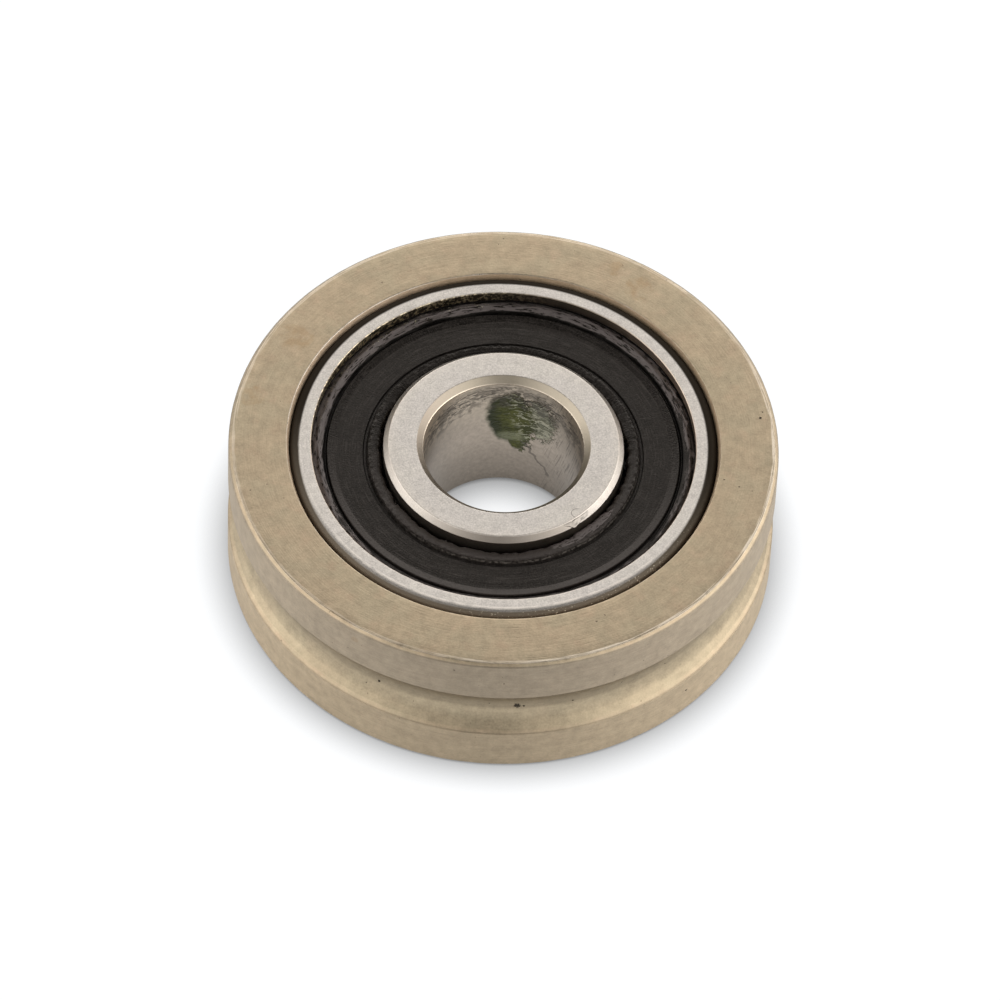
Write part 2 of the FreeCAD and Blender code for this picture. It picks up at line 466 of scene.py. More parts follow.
def seal_marks(turns, r, z, share):
    """Where grey residue clings, in patches along the bead and at the lip, and where the ridge is nicked."""
    out = r / lattice_reach
    far_side = 0.25 + 0.75 * np.maximum(toward(turns, 75, 50), toward(turns, 155, 45))
    patches = wander(turns, out, 36, 110, 48) * 0.7 + wander(turns, out, 150, 110, 49) * 0.5
    lifted = toward(turns, lifted_at, 16) * lip_zone(r, 0.34, 0.1)
    front = 0.5 + toward(turns, 290, 60)
    return {"residue": np.clip(bead_zone(r) * patches * far_side * 1.5 + lifted * 0.9, 0, 1),
            "nicked": ridge_zone(r) * wander(turns, out, 300, 60, 50) * front}


def insert_section(side):
    """The seal's steel washer, with its outer edge turned up."""
    corners = [
        (insert_bore, seal_back, 0.01),
        (insert_radius, seal_back, 0.03),
        (insert_radius, insert_top, 0.02),
        (insert_radius - insert_flange, insert_top, 0.02),
        (insert_radius - insert_flange, seal_back + insert_thickness, 0.03),
        (insert_bore, seal_back + insert_thickness, 0.01),
    ]
    return outline([(r, z * side, ease) for r, z, ease in corners])


def ball_profile():
    """A half circle from the bottom pole to the top one."""
    angles = np.linspace(-math.pi / 2, math.pi / 2, 41)
    return ball_radius * np.stack([np.cos(angles), np.sin(angles)], 1)


def rivet_profile():
    """A shank between two heads, each a cap of a sphere that falls by the dome's height."""
    dome = (rivet_head ** 2 + rivet_dome ** 2) / (2 * rivet_dome)
    r = rivet_head * np.sin(np.linspace(0, math.pi / 2, 9))
    cap = np.stack([r, sheet + rivet_dome - dome + np.sqrt(dome ** 2 - r ** 2)], 1)
    shank = np.array([[rivet_shank, sheet], [rivet_shank, 0]])
    upper = np.concatenate([cap, shank])
    lower = upper[-2::-1] * [1, -1]
    return np.concatenate([upper, lower])[::-1]


def torn_burr():
    """A sliver of steel torn from the inner ring's corner: an arc strip that droops outward.

    Across the strip, share v from 0 to 1, the radius grows by v times a ragged width and the height
    falls a little less, so the sliver lifts off the corner's slope. A second sheet under the first
    closes it.
    """
    count, across = 60, 8
    width, droop, lift, thickness, edge = 0.2, 0.85, 0.008, 0.025, 0.004
    turns = np.radians(np.linspace(303, 318, count))[:, None]
    v = np.linspace(0, 1, across)[None, :]
    taper = np.sin(np.linspace(0, math.pi, count))[:, None] ** 0.6
    ragged = 0.45 + 0.55 * wander(turns * 8, 0 * turns + 0.5, 18, 2, 51)
    outward = v * width * taper * ragged
    r = land_radius - 0.8 * land_break + outward
    root = ring_half - 0.2 * land_break + lift
    z = root - droop * outward + 0.02 * taper * (wander(turns * 8, v, 24, 2, 52) - 0.7)
    top, under = on_circles(r, turns, z), on_circles(r, turns, z - thickness * taper - edge)
    points = np.swapaxes(np.concatenate([top, under[:, ::-1]], 1), 0, 1)
    loop = np.arange(2 * across) * count
    ends = [loop.tolist(), (loop + count - 1)[::-1].tolist()]
    mesh = smooth_mesh("torn_burr", points, grid_quads(2 * across, count).tolist() + ends)
    return add_piece("torn_burr", mesh, "inner_race")


def build_pieces():
    """Every new piece, by the finish that it takes."""
    made = {
        "plating": [turned("grooved_rim", rim_section(), 760, "roller", "wheel",
                           rim_relief, rim_marks)],
        "ring": [
            turned("bearing_outer_ring", outer_ring_section(), 480, "roller",
                   "outer_ring", ring_relief, ring_marks),
            turned("bearing_inner_ring", inner_ring_section(), 480, "inner_race",
                   "inner_ring", ring_relief, ring_marks),
        ],
        "rubber": [], "washer": [], "ball": [], "rivet": [],
    }
    for side, place in ((1, "upper"), (-1, "lower")):
        made["rubber"].append(turned(f"{place}_rubber_seal", seal_section(side), 600, "roller",
                                     f"{place}_seal", seal_relief, seal_marks))
        made["washer"].append(turned(f"{place}_seal_washer", insert_section(side), 120, "roller",
                                     f"{place}_seal_insert"))
    count = sum(name.startswith("ball_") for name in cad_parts)
    step = FULL_TURN / count
    for number in range(1, count + 1):
        turn = FULL_TURN * (number - 1) / count
        made["ball"].append(spun(f"bearing_ball_{number}", ball_profile(), 72,
                                 on_circles(pitch_radius, turn, 0), f"rolling_ball_{number}",
                                 f"ball_{number}"))
        made["rivet"].append(spun(f"cage_pin_{number}", rivet_profile(), 32,
                                  on_circles(pitch_radius, turn + step / 2, 0), "cage",
                                  f"cage_rivet_{number}"))
    made["ring"].append(torn_burr())
    return made


# ---------------- finishes

class Nodes:
    """A node tree that is built by calls. A value is a number, a colour or another node's output."""

    def __init__(self, owner):
        owner.use_nodes = True
        self.tree = owner.node_tree

    def feed(self, socket, value):
        if isinstance(value, bpy.types.NodeSocket):
            self.tree.links.new(value, socket)
        else:
            socket.default_value = value

    def node(self, kind, settings=None, **inputs):
        """A new node, with its inputs fed by name."""
        node = self.tree.nodes.new(kind)
        for key, value in (settings or {}).items():
            setattr(node, key, value)
        for key, value in inputs.items():
            self.feed(node.inputs[key], value)
        return node

    def result(self, kind, settings, *values):
        """The first output of a new node whose inputs take the values in order."""
        node = self.node(kind, settings)
        for socket, value in zip(node.inputs, values):
            self.feed(socket, value)
        return node.outputs[0]

    def math(self, operation, *values):
        return self.result("ShaderNodeMath", {"operation": operation}, *values)

    def chain(self, operation, values):
        total = values[0]
        for value in values[1:]:
            total = self.math(operation, total, value)
        return total

    def plus(self, *values):
        return self.chain("ADD", values)

    def times(self, *values):
        return self.chain("MULTIPLY", values)

    def most(self, *values):
        return self.chain("MAXIMUM", values)

    def minus(self, first, second):
        return self.math("SUBTRACT", first, second)

    def over(self, first, second):
        return self.math("DIVIDE", first, second)

    def length(self, x, y):
        return self.math("SQRT", self.plus(self.times(x, x), self.times(y, y)))

    def rest_of(self, share):
        """What a share leaves of 1."""
        return self.minus(1.0, share)

    def parts(self, vector):
        return tuple(self.node("ShaderNodeSeparateXYZ", Vector=vector).outputs)

    def vector(self, x, y, z):
        return self.result("ShaderNodeCombineXYZ", {}, x, y, z)


class Finish(Nodes):
    """A material of one shader, painted in layers of colour. Lengths are in millimetres.

    place is a point of the piece. x, y, height, the radius from the axis and the direction round it
    (round_x, round_y) follow from it.
    """

    def __init__(self, name, **constants):
        self.material = bpy.data.materials.new(name)
        super().__init__(self.material)
        self.shader = self.tree.nodes["Principled BSDF"]
        for key, value in constants.items():
            self.shader.inputs[key.replace("_", " ")].default_value = value
        self.place = self.scaled(self.node("ShaderNodeTexCoord").outputs["Object"], 1 / MM)
        self.x, self.y, self.height = self.parts(self.place)
        self.radius = self.length(self.x, self.y)
        self.round_x, self.round_y = self.over(self.x, self.radius), self.over(self.y, self.radius)
        self.colour = None

    def scaled(self, vector, amount):
        """A vector or a colour times a number."""
        node = self.node("ShaderNodeVectorMath", {"operation": "SCALE"}, Vector=vector, Scale=amount)
        return node.outputs[0]

    def distance(self, place, point):
        """How far a place is from a point."""
        node = self.node("ShaderNodeVectorMath", {"operation": "DISTANCE"}, Vector=place)
        self.feed(node.inputs[1], point)
        return node.outputs["Value"]

    def noise(self, size, detail=2.0, vector=None, stir=0.0, offset=0.0):
        """Noise from about 0.3 to 0.7 whose lumps are about the size across."""
        moved = self.result("ShaderNodeVectorMath", {"operation": "ADD"},
                            self.place if vector is None else vector, (offset, offset * 1.7, offset * 0.6))
        node = self.node("ShaderNodeTexNoise", Vector=moved, Scale=1 / size, Detail=detail, Distortion=stir)
        return node.outputs["Fac"]

    def swing(self, noise, amount):
        """How far a noise is from its middle, times an amount."""
        return self.times(self.minus(noise, 0.5), amount)

    def stretched(self, x, y, size_x, size_y, detail, stir=0.0):
        """Noise over two lengths, with its own size of lump along each."""
        return self.noise(1.0, detail, self.vector(self.over(x, size_x), 0.0, self.over(y, size_y)), stir)

    def streaks(self, length, width, detail=2.0, offset=0.0):
        """Noise drawn out round the axis, as a lathe leaves it: streaks of a length and a width."""
        long_way = rim_radius / length
        across = self.plus(self.radius, self.times(self.height, 0.73))
        vector = self.vector(self.times(self.round_x, long_way), self.times(self.round_y, long_way),
                             self.over(across, width))
        return self.noise(1.0, detail, vector, offset=offset)

    def between(self, value, low, high):
        """0 below low and 1 above high, eased in between. With low above high it runs the other way."""
        return self.result("ShaderNodeMapRange", {"interpolation_type": "SMOOTHSTEP"},
                           value, low, high, 0.0, 1.0)

    def patches(self, size, detail, low, high, offset=0.0):
        """1 where a noise is above high, 0 where it is below low."""
        return self.between(self.noise(size, detail, offset=offset), low, high)

    def band(self, value, low, high, ease):
        """1 from low to high, easing to 0 outside."""
        return self.times(self.between(value, low - ease, low), self.between(value, high + ease, high))

    def facing(self, degrees, spread):
        """1 in one direction round the axis, 0 beyond the spread on both sides of it, in degrees."""
        turn = math.radians(degrees)
        along = self.plus(self.times(self.round_x, math.cos(turn)),
                          self.times(self.round_y, math.sin(turn)))
        return self.between(along, math.cos(math.radians(spread)), math.cos(math.radians(spread * 0.3)))

    def far_wall(self):
        """The way round from the far side, positive to the right, in millimetres on the axle bore."""
        return self.times(self.math("ARCTAN2", self.x, self.y), axle_radius)

    def blob(self, across, place, half_size, edge, ease=0.12):
        """1 inside an ellipse about (way round, height) whose outline the edge value moves in and out."""
        far = [self.over(self.minus(value, middle), half)
               for value, middle, half in zip((across, self.height), place, half_size)]
        return self.between(self.plus(self.length(*far), edge), 1 + ease, 1 - ease)

    def spot(self, stirring, degrees, radius, height, size):
        """1 within a ragged blot about a place on the piece, 0 outside."""
        turn, ragged = math.radians(degrees), 1.4 * size
        stirred = self.result("ShaderNodeVectorMath", {"operation": "MULTIPLY_ADD"},
                              stirring, (ragged, ragged, ragged), self.place)
        middle = (radius * math.cos(turn), radius * math.sin(turn), height)
        away = self.distance(stirred, [length + ragged / 2 for length in middle])
        return self.between(away, size * 1.15, size * 0.75)

    def spots(self, usual_size, *places):
        """1 within ragged blots, each a row of degrees, radius, height and size, 0 outside."""
        noise = self.node("ShaderNodeTexNoise", Vector=self.place, Scale=1.2 / usual_size)
        return self.most(*[self.spot(noise.outputs["Color"], *row) for row in places])

    def mark(self, name):
        """A value that the mesh carries at each point."""
        return self.node("ShaderNodeAttribute", {"attribute_name": name}).outputs["Fac"]

    def mix(self, share, first, second):
        """The first colour at a share of 0, the second at 1."""
        node = self.node("ShaderNodeMix", {"data_type": "RGBA"})
        self.feed(node.inputs[0], share)
        for socket, colour in ((node.inputs[6], first), (node.inputs[7], second)):
            self.feed(socket, colour if isinstance(colour, bpy.types.NodeSocket) else (*colour, 1.0))
        return node.outputs[2]

    def paint(self, share, colour):
        """Lays a colour over what is there, by a share from 0 to 1."""
        self.colour = self.mix(share, self.colour, colour)

    def lighten(self, *amounts):
        """Lightens what is there by the sum of the amounts."""
        self.colour = self.scaled(self.colour, self.plus(*amounts, 1.0))

    def bumps(self, *layers):
        """Relief from layers of (height value, depth in micrometres)."""
        normal = None
        for value, depth in layers:
            node = self.node("ShaderNodeBump", Height=value, Distance=depth * 1e-6)
            if normal is not None:
                self.feed(node.inputs["Normal"], normal)
            normal = node.outputs[0]
        self.feed(self.shader.inputs["Normal"], normal)

    def finish(self, roughness, **more):
        """Feeds the shader what it takes and gives the material."""
        for key, value in {"Base Color": self.colour, "Roughness": roughness, **more}.items():
            self.feed(self.shader.inputs[key], value)
        return self.material


def plated_steel():
    """Turned steel under a warm olive-tan plating, bright where its edges are worn, and with a painted
    highlight on the groove's front lips.
    """
    f = Finish("olive_tan_plating", Metallic=1.0)
    tan, olive, rose = (0.43, 0.342, 0.236), (0.41, 0.337, 0.234), (0.45, 0.338, 0.235)
    lower_flange, shaded_upper_flange = (0.46, 0.374, 0.264), (0.385, 0.322, 0.245)
    groove_tan, groove_shade = (0.40, 0.33, 0.225), (0.20, 0.165, 0.115)
    worn, rubbed_bright = (0.74, 0.66, 0.57), (0.78, 0.68, 0.55)
    rust, pit_black = (0.36, 0.24, 0.13), (0.035, 0.03, 0.025)

    off_middle = f.math("ABSOLUTE", f.height)
    f.colour = f.mix(f.patches(1.1, 3, 0.38, 0.66), tan, olive)
    f.paint(f.times(f.patches(0.5, 4, 0.5, 0.75, 5), 0.6), rose)
    on_flange = f.between(f.radius, rim_radius - 0.05, rim_radius - 0.02)
    in_groove = f.times(f.between(f.radius, rim_radius - 0.06, rim_radius - 0.12),
                        f.between(off_middle, groove_half, groove_half - 0.1))
    # painted shade: the upper flange is painted a darker, greyer tone than the lower one
    f.paint(f.times(on_flange, 0.85), f.mix(f.between(f.height, -0.5, 0.5), lower_flange, shaded_upper_flange))
    f.paint(f.times(in_groove, 0.7), groove_tan)

    # the bore's mouth, a brown stain that is painted darker as it goes down as painted shade, and lighter on
    # the far left as painted light
    mouth_edge = ring_radius + bore_break
    in_mouth = f.between(f.radius, mouth_edge + 0.004, mouth_edge - 0.012)
    depth = f.between(off_middle, rim_half - 0.04, rim_half - 0.4)
    far_left_painted_light = f.facing(155, 55)
    brown = f.mix(far_left_painted_light, (0.44, 0.32, 0.205), (0.60, 0.45, 0.31))
    deep_painted_shade = f.mix(far_left_painted_light, (0.045, 0.034, 0.023), (0.20, 0.145, 0.095))
    f.paint(in_mouth, f.mix(depth, brown, deep_painted_shade))

    # painted shade on the groove's upper side, the unevenness that turning and plating leave, and painted
    # light low on the lower flange
    low_front = f.plus(0.3, f.times(f.facing(272, 45), 0.25))
    f.paint(f.times(in_groove, f.band(f.height, -0.1, 0.42, 0.16), low_front), groove_shade)
    fine, grain, mottle = f.streaks(0.9, 0.035, 3), f.noise(0.06, 3), f.noise(0.3, 3, offset=2)
    low_flange_light = f.times(on_flange, f.between(f.height, -1.4, -2.3), 0.09)
    f.lighten(f.swing(fine, 0.3), f.swing(grain, 0.5), f.swing(mottle, 0.45), low_flange_light)

    # stains, worn edges with a painted highlight on the groove's front lips, and pits
    stains = f.spots(
        0.4,
        (58, 7.2, rim_half, 0.45), (66, 7.5, rim_half, 0.3), (150, 7.3, rim_half, 0.5),
        (170, 7.6, rim_half, 0.4), (240, rim_radius, 2.0, 0.12),
    )
    f.paint(f.times(stains, f.patches(0.3, 4, 0.3, 0.7, 9), 0.5), rust)
    wear_and_highlight = f.between(f.mark("wear_and_highlight"), 0.15, 0.75)
    f.paint(f.times(wear_and_highlight, 0.75), worn)
    rubbed = f.times(f.band(f.radius, rim_radius - 0.19, rim_radius - 0.115, 0.02),
                     f.between(fine, 0.36, 0.56),
                     f.between(off_middle, rim_half - 0.02, rim_half - 0.01),
                     f.plus(0.4, f.times(f.facing(320, 80), 0.6)))
    f.paint(rubbed, rubbed_bright)
    groove_floor = rim_radius - 0.42
    pits = f.spots(
        0.05,
        (275.5, groove_floor, -0.06, 0.1), (277, groove_floor, -0.1, 0.045),
        (275, groove_floor, -0.62, 0.055), (287.9, groove_floor, -0.13, 0.035),
        (244.4, groove_floor, -0.14, 0.045), (230.3, groove_floor + 0.05, -0.8, 0.035),
        (310.8, groove_floor, -0.14, 0.03), (314.5, rim_radius, -1.47, 0.035),
        (285.4, groove_floor, -0.73, 0.025), (286.3, groove_floor, -0.77, 0.025),
        (10.4, 7.7, rim_half, 0.045), (12, 7.8, rim_half, 0.025),
    )
    specks = f.times(f.patches(0.12, 1, 0.76, 0.8, 3), f.patches(2.0, 1, 0.5, 0.6, 7))
    pits = f.most(pits, f.times(specks, 0.7))
    f.paint(f.times(pits, 0.9), pit_black)

    rough = f.plus(0.4, f.swing(grain, 0.3), f.times(pits, 0.3))
    rough = f.minus(f.minus(rough, f.times(wear_and_highlight, 0.1)), f.times(in_groove, 0.03))
    rough = f.plus(rough, f.times(on_flange, 0.12))
    f.bumps((fine, 3.0), (grain, 3.0), (f.rest_of(pits), 20.0))
    return f.finish(rough, Metallic=f.rest_of(f.times(in_mouth, 0.9)),
                    Anisotropic=f.most(f.times(on_flange, 0.8), f.times(in_groove, 0.3)),
                    Tangent=f.vector(0.0, 0.0, 1.0))


def bore_compound(f, across):
    """Thread-locking compound dried on the bore's far wall: its colour, its share and its waves."""
    ragged = f.times(f.swing(f.noise(0.16, 4, stir=1.2, offset=3), f.between(across, 0.1, 0.8)), 1.6)
    edge = f.plus(f.swing(f.noise(0.4, 3), 0.5), ragged)
    leaning = f.plus(across, f.times(f.height, 0.08))
    body = f.most(f.blob(leaning, (0.27, 0.68), (0.76, 1.16), edge),
                  f.blob(across, (0.4, -0.3), (0.3, 0.5), edge))
    middle = f.blob(leaning, (0.56, 0.72), (0.78, 1.1), edge, 0.3)
    spread = f.blob(across, (1.05, 0.85), (0.6, 0.85), edge, 0.2)
    waves = f.stretched(across, f.height, 0.3, 0.15, 3, stir=1.6)
    broken = f.between(f.plus(across, f.times(f.minus(f.height, 0.6), 0.3)), 0.0, 0.55)
    veined = f.times(broken, f.between(waves, 0.5, 0.58))
    olive = f.mix(f.patches(0.4, 3, 0.4, 0.62, 4), (0.045, 0.049, 0.011), (0.085, 0.089, 0.019))
    dark_side = f.times(f.rest_of(middle), f.between(across, 0.3, 0.0), 0.9)
    olive = f.mix(dark_side, olive, (0.026, 0.031, 0.015))
    thin = f.times(f.blob(across, (0.22, -0.18), (0.4, 0.2), edge, 0.4), 0.6)
    olive = f.mix(thin, olive, (0.24, 0.245, 0.15))
    dried_edge = f.times(f.band(spread, 0.3, 0.7, 0.2), 0.8)
    sage = f.mix(f.between(waves, 0.42, 0.56), (0.11, 0.12, 0.07), (0.25, 0.25, 0.175))
    green = f.mix(body, f.mix(dried_edge, sage, (0.05, 0.06, 0.03)), olive)
    green = f.mix(f.times(veined, 0.7), green, (0.46, 0.45, 0.33))
    return green, f.most(body, f.times(spread, 0.85)), waves


def bore_dirt(f, across):
    """Smudges round the bore's mouth, scores on its right and a line drawn across it."""
    way_up = f.plus(f.height, f.times(f.math("ABSOLUTE", across), 0.12))
    lines = f.stretched(across, f.height, 0.3, 0.09, 4, stir=1.5)
    smudge = f.times(f.band(way_up, 1.65, 2.1, 0.3), f.between(lines, 0.44, 0.57))
    scratches = f.stretched(f.minus(across, f.times(f.height, 0.3)), f.height, 0.045, 0.9, 2)
    scored = f.times(f.between(scratches, 0.54, 0.66), f.between(across, 0.9, 1.7))
    blotch = f.times(f.band(way_up, 1.35, 2.0, 0.3), f.patches(0.3, 4, 0.46, 0.6, 14))
    off_line = f.minus(f.plus(across, f.times(f.height, 0.75)), 0.28)
    off_line = f.plus(off_line, f.swing(f.noise(0.35, 3, offset=15), 0.5))
    drawn = f.times(f.band(off_line, -0.03, 0.03, 0.04), f.band(f.height, -1.5, -0.4, 0.15))
    return f.most(f.times(smudge, 0.8), f.times(scored, 0.55), f.times(blotch, 0.55), f.times(drawn, 0.6))


def ground_steel():
    """The bearing's ground rings: pale and finely grained, with residue down in the axle's bore."""
    f = Finish("ground_ring_steel", Metallic=1.0)
    pale, paler = (0.565, 0.525, 0.487), (0.58, 0.54, 0.495)
    worn, break_painted_shade, land_gap_shade = (0.75, 0.67, 0.58), (0.27, 0.235, 0.20), (0.3, 0.26, 0.22)
    dark_curl, dirt_grey = (0.10, 0.085, 0.07), (0.07, 0.06, 0.05)

    grain, fine = f.noise(0.045, 3), f.streaks(0.6, 0.03, 2)
    f.colour = f.mix(f.patches(0.8, 2, 0.35, 0.65), paler, pale)
    f.lighten(f.swing(grain, 0.95), f.swing(fine, 0.2), f.swing(f.noise(0.2, 3, offset=2), 0.3))
    wear_and_highlight = f.mark("wear_and_highlight")
    f.paint(f.times(wear_and_highlight, 0.6), worn)

    # the inner ring's land: its broken corner, painted darker as shade and most at the front, the side below
    # it, painted darker as shade in the gap by the seal's lip, and a curled mark on its face
    inner = f.between(f.radius, land_radius + 0.2, land_radius + 0.1)
    inside_break = land_radius - land_break
    on_break = f.times(inner, f.between(f.radius, inside_break, inside_break + 0.03))
    f.paint(f.times(on_break, f.plus(0.3, f.times(f.facing(274, 50), 0.55))), break_painted_shade)
    below_break = ring_half - land_break
    under = f.times(inner, f.between(f.math("ABSOLUTE", f.height), below_break + 0.01, below_break - 0.04),
                    f.between(f.radius, land_radius - 0.03, land_radius - 0.01))
    f.paint(under, land_gap_shade)
    curl_middle, curl_radius = (2.24, -2.44, ring_half), 0.15
    away = f.distance(f.place, curl_middle)
    curl = f.times(f.band(away, curl_radius, curl_radius + 0.015, 0.012), f.between(f.radius, 3.46, 3.4),
                   f.between(f.plus(f.x, f.times(f.y, -0.3)), 3.02, 2.92))
    f.paint(f.times(curl, 0.55), dark_curl)

    # the outer ring's rounded corner, painted dark as shade in the gap where it meets the wheel and near
    # black at the front as a painted dark reflection, with light worn flecks, and a painted highlight along
    # it at the front
    corner = ring_radius - outer_corner
    front = f.facing(262, 95)
    clean_edge = f.plus(corner - 0.065, f.times(front, 0.125))
    gap_shade = f.between(f.minus(f.radius, clean_edge), 0.0, 0.07)
    flecks = f.times(f.patches(0.06, 3, 0.62, 0.68, 11), f.facing(298, 45))
    gap_shade_and_flecks = f.mix(front, (0.025, 0.019, 0.013), f.mix(flecks, (0.20, 0.165, 0.125), (0.7, 0.62, 0.5)))
    f.paint(gap_shade, gap_shade_and_flecks)
    # painted highlight: a light line along the corner at the front
    line = f.times(f.band(f.radius, corner - 0.06, corner + 0.02, 0.03), front, f.patches(0.4, 3, 0.3, 0.6))
    f.paint(f.times(line, 0.5), (0.85, 0.78, 0.70))

    # the wall that holds the seal, painted dark at the far side as a painted reflection of the black seal,
    # and crusted at the far left
    seat = ring_radius - seal_wall
    in_seat = f.times(f.between(f.radius, seat + 0.03, seat + 0.01),
                      f.between(f.radius, land_radius, seat - 0.5))
    seat_shade_and_crust = f.mix(f.facing(92, 55), (0.62, 0.50, 0.40), (0.19, 0.155, 0.12))
    crumbs = f.mix(f.patches(0.11, 2, 0.46, 0.6, 12), (0.06, 0.049, 0.03), (0.8, 0.69, 0.45))
    seat_shade_and_crust = f.mix(f.times(f.facing(134, 62), 0.85), seat_shade_and_crust, crumbs)
    f.paint(in_seat, f.mix(f.times(wear_and_highlight, 0.8), seat_shade_and_crust, (0.75, 0.65, 0.54)))

    # the axle's bore, painted darker as it goes down as painted shade, and lighter high on the far left
    in_bore = f.between(f.radius, axle_radius + 0.03, axle_radius + 0.01)
    corner = axle_radius + axle_break
    on_corner = f.times(f.between(f.radius, corner + 0.01, corner - 0.01), f.rest_of(in_bore))
    corner_tan = f.mix(f.facing(185, 70), (0.34, 0.292, 0.22), (0.27, 0.222, 0.172))
    f.paint(f.times(on_corner, 0.85), corner_tan)
    down = f.mix(f.between(f.height, 1.8, 0.0), (0.53, 0.45, 0.355), (0.395, 0.33, 0.266))
    down = f.mix(f.between(f.height, 0.2, -1.5), down, (0.245, 0.204, 0.162))
    wall = f.plus(f.swing(f.noise(0.12, 4, offset=6), 0.7), 1.0,
                  f.times(f.facing(150, 50), f.between(f.height, 0.6, 1.8), 0.5))
    f.paint(f.times(in_bore, 0.9), f.scaled(down, wall))
    across = f.far_wall()
    green, share, waves = bore_compound(f, across)
    compound = f.times(share, in_bore)
    f.paint(compound, green)
    f.paint(f.times(bore_dirt(f, across), in_bore), dirt_grey)

    rough = f.minus(f.plus(0.38, f.swing(grain, 0.25)), f.times(in_bore, 0.05))
    rough = f.plus(rough, f.times(gap_shade, 0.25))
    f.bumps((grain, 2.0), (fine, 1.5), (f.times(compound, waves), 25.0))
    return f.finish(rough, Metallic=f.rest_of(f.times(compound, 0.15)))


def black_rubber():
    """Moulded black rubber: fine rings and a radial hatch from the mould, grey residue at its edges."""
    f = Finish("black_seal_rubber", Specular_IOR_Level=0.22, Specular_Tint=(1.0, 0.89, 0.80, 1.0))
    rings, grain = f.streaks(3.0, 0.045, 3), f.noise(0.045, 3)
    spokes = f.vector(f.times(f.round_x, 120), f.times(f.round_y, 120), f.times(f.radius, 6))
    hatch = f.noise(1.0, 2, spokes)
    black, soft_black = (0.005, 0.0041, 0.0035), (0.009, 0.0076, 0.0066)
    f.colour = f.mix(f.patches(0.6, 3, 0.35, 0.65), black, soft_black)
    f.paint(f.times(f.between(hatch, 0.5, 0.72), 0.4), (0.035, 0.031, 0.028))
    f.paint(f.patches(0.035, 2, 0.5, 0.7, 4), (0.028, 0.024, 0.021))
    smears = f.between(f.streaks(0.9, 0.05, 4, offset=2), 0.52, 0.68)
    f.paint(f.times(smears, 0.5), (0.045, 0.039, 0.036))
    residue = f.times(f.mark("residue"), f.between(f.streaks(0.4, 0.045, 5, offset=3), 0.36, 0.5))
    shown = f.between(residue, 0.2, 0.32)
    residue_grey, straw = (0.135, 0.117, 0.113), (0.42, 0.38, 0.28)
    f.paint(f.times(shown, 0.9), residue_grey)
    # painted shade: the moat is painted near black, except at the front
    shaded_moat = f.band(f.radius, moat_middle - 0.05, moat_middle + 0.05, 0.03)
    f.paint(f.times(shaded_moat, f.rest_of(f.times(f.facing(275, 85), 0.8))), (0.002, 0.0018, 0.0016))
    nicks = f.times(f.mark("nicked"), f.patches(0.05, 2, 0.5, 0.6, 6))
    f.paint(f.times(f.between(nicks, 0.25, 0.5), 0.8), (0.07, 0.062, 0.055))
    bead_edge = f.band(f.radius, 5.5, 5.72, 0.05)
    flecks = f.times(bead_edge, f.patches(0.06, 2, 0.62, 0.68, 8),
                     f.patches(0.5, 2, 0.42, 0.55, 1), f.facing(128, 55))
    f.paint(f.times(flecks, 0.85), straw)

    # the rise inside the moat and the ridge round the lip, smoother, and painted lighter at the front as
    # painted sheen
    rise_edge = moat_middle - moat_width / 2
    rise = f.band(f.radius, rise_edge - shoulder_width, rise_edge, 0.03)
    ridge = f.between(f.radius, ridge_out + 0.02, ridge_out)
    smooth = f.times(f.most(rise, ridge), f.rest_of(shown))
    f.paint(f.times(smooth, f.facing(270, 100), 0.8), (0.05, 0.043, 0.04))
    # painted highlight: a ragged light line just outside the ridge's edge at the front
    highlight_radius = ridge_out + 0.03
    ridge_edge_highlight = f.times(f.band(f.radius, highlight_radius - 0.004, highlight_radius + 0.004, 0.012), f.facing(290, 80),
                    f.patches(0.12, 4, 0.38, 0.6, 5))
    f.paint(f.times(ridge_edge_highlight, 0.7), (0.15, 0.135, 0.12))
    rough = f.minus(f.plus(0.34, f.swing(grain, 0.4)), f.times(smooth, 0.15))
    f.bumps((rings, 8.0), (hatch, 7.0), (grain, 12.0), (shown, 14.0), (flecks, 15.0))
    return f.finish(rough)


def plain_metal(name, colour, dull, roughness, grain_depth):
    """A hidden metal piece's finish: two tones of one colour under a fine grain."""
    f = Finish(name, Metallic=1.0)
    grain = f.noise(0.05, 3)
    f.colour = f.mix(f.patches(0.5, 3, 0.35, 0.65), colour, dull)
    f.bumps((grain, grain_depth))
    return f.finish(f.plus(roughness, f.swing(grain, roughness * 0.5)))


def dress(pieces):
    """Gives every new piece and every CAD node that still shows its finish."""
    finishes = {
        "plating": plated_steel(),
        "ring": ground_steel(),
        "rubber": black_rubber(),
        "washer": plain_metal("pressed_washer_steel", (0.55, 0.54, 0.52), (0.45, 0.44, 0.42), 0.4, 1.5),
        "ball": plain_metal("polished_ball_steel", (0.80, 0.80, 0.80), (0.74, 0.74, 0.75), 0.08, 0.1),
        "rivet": plain_metal("rivet_wire_steel", (0.62, 0.61, 0.60), (0.5, 0.49, 0.48), 0.35, 1.0),
    }
    for key, members in pieces.items():
        for piece in members:
            piece.data.materials.append(finishes[key])
    cage = plain_metal("pressed_cage_steel", (0.66, 0.65, 0.63), (0.58, 0.57, 0.55), 0.32, 1.0)
    for name in ("cage_upper_half", "cage_lower_half"):
        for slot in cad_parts[name].material_slots:
            slot.material = cage


# ---------------- floor, light and camera

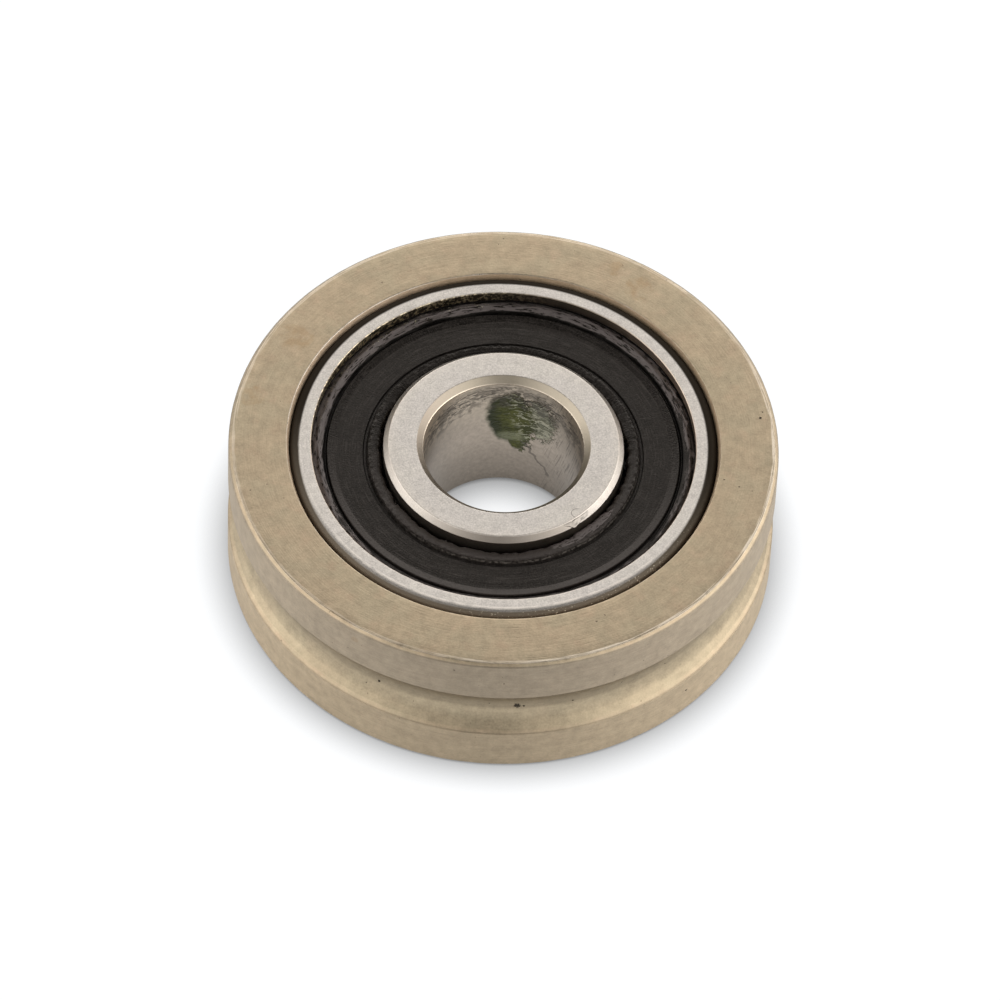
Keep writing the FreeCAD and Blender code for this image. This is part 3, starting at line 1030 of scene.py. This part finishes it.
def make_floor():
    """A pale floor that keeps shadows and reads as white where nothing shades it; near the part its glow is
    dimmed by ambient occlusion, a painted contact shadow.
    """
    half, height = 0.3, -rim_half * MM
    open_glow, contact = 0.92, 1.1 * MM
    mesh = bpy.data.meshes.new("floor")
    corners = [(-half, -half, height), (half, -half, height), (half, half, height), (-half, half, height)]
    mesh.from_pydata(corners, [], [(0, 1, 2, 3)])
    put_in_scene("floor", mesh)
    material = bpy.data.materials.new("white_floor")
    f = Nodes(material)
    f.tree.nodes.clear()
    matte = f.node("ShaderNodeBsdfDiffuse", Color=(0.14, 0.145, 0.155, 1))
    path = f.node("ShaderNodeLightPath").outputs
    seen = f.most(path["Is Camera Ray"], path["Is Glossy Ray"])
    contact_occlusion = f.node("ShaderNodeAmbientOcclusion", Distance=contact)
    glow_with_contact_shade = f.times(contact_occlusion.outputs["AO"], open_glow)
    glow = f.node("ShaderNodeEmission", Color=(0.99, 1.0, 1.01, 1), Strength=f.times(seen, glow_with_contact_shade))
    both = f.result("ShaderNodeAddShader", {}, matte.outputs[0], glow.outputs[0])
    f.node("ShaderNodeOutputMaterial", Surface=both)
    mesh.materials.append(material)


# The tent's brightness: one row of eight for each elevation in degrees, from +X anticlockwise in
# steps of 45 degrees. A colour ramp holds no more than 1, so the rows go through it at a quarter.
TENT = {
    5: (3.2, 2.1, 0.1, 0.2, 3.0, 0.8, 0.2, 1.4),
    30: (2.5, 0.9, 3.0, 1.6, 1.7, 2.2, 0.45, 2.4),
    58: (0.1, 0.1, 0.7, 0.1, 0.3, 0.2, 0.1, 0.1),
    90: (0.05,) * 8,
}
RAMP_SCALE = 4.0


def make_world():
    """A soft tent round the part, brightest low down and behind it, and dark overhead."""
    world = bpy.data.worlds.new("soft_tent")
    bpy.context.scene.world = world
    w = Nodes(world)
    x, y, z = w.parts(w.node("ShaderNodeTexCoord").outputs["Generated"])
    way_round = w.math("FRACT", w.plus(w.over(w.math("ARCTAN2", y, x), FULL_TURN), 1.0))
    elevation = w.math("DEGREES", w.math("ARCSINE", z))
    strength = below = None
    for height, row in TENT.items():
        ring = w.node("ShaderNodeValToRGB", Fac=way_round)
        stops = ring.color_ramp.elements
        for n in range(1, 8):
            stops.new(n / 8)
        for n, stop in enumerate(stops):
            stop.position = n / 8
            stop.color = (*[row[n % 8] / RAMP_SCALE] * 3, 1)
        value = w.times(ring.outputs[0], RAMP_SCALE)
        if strength is None:
            strength = value
        else:
            share = w.over(w.minus(elevation, below), height - below)
            share = w.math("MINIMUM", w.most(share, 0.0), 1.0)
            strength = w.plus(strength, w.times(w.minus(value, strength), share))
        below = height
    sky = w.tree.nodes["Background"]
    w.feed(sky.inputs["Strength"], strength)
    w.feed(sky.inputs["Color"], (1, 0.985, 0.96, 1))


def make_camera():
    """A long lens from above the front, aimed at the middle of the part and rolled a little."""
    elevation, roll, distance = math.radians(52.83), math.radians(2.64), 0.25185
    aim = Vector((-0.035, -0.205, 0)) * MM
    back = Vector((0, -math.cos(elevation), math.sin(elevation)))
    level = Vector((1, 0, 0))
    upright = back.cross(level)
    right = level * math.cos(roll) + upright * math.sin(roll)
    up = back.cross(right)
    lens = bpy.data.cameras.new("camera")
    lens.lens = 304.17
    lens.sensor_width = 36
    lens.clip_start, lens.clip_end = 0.01, 5
    camera = put_in_scene("camera", lens)
    turn = Matrix((right, up, back)).transposed().to_4x4()
    camera.matrix_world = Matrix.Translation(aim + back * distance) @ turn
    bpy.context.scene.camera = camera


dress(build_pieces())
make_floor()
make_world()
make_camera()
bpy.context.scene.view_settings.view_transform = "Standard"
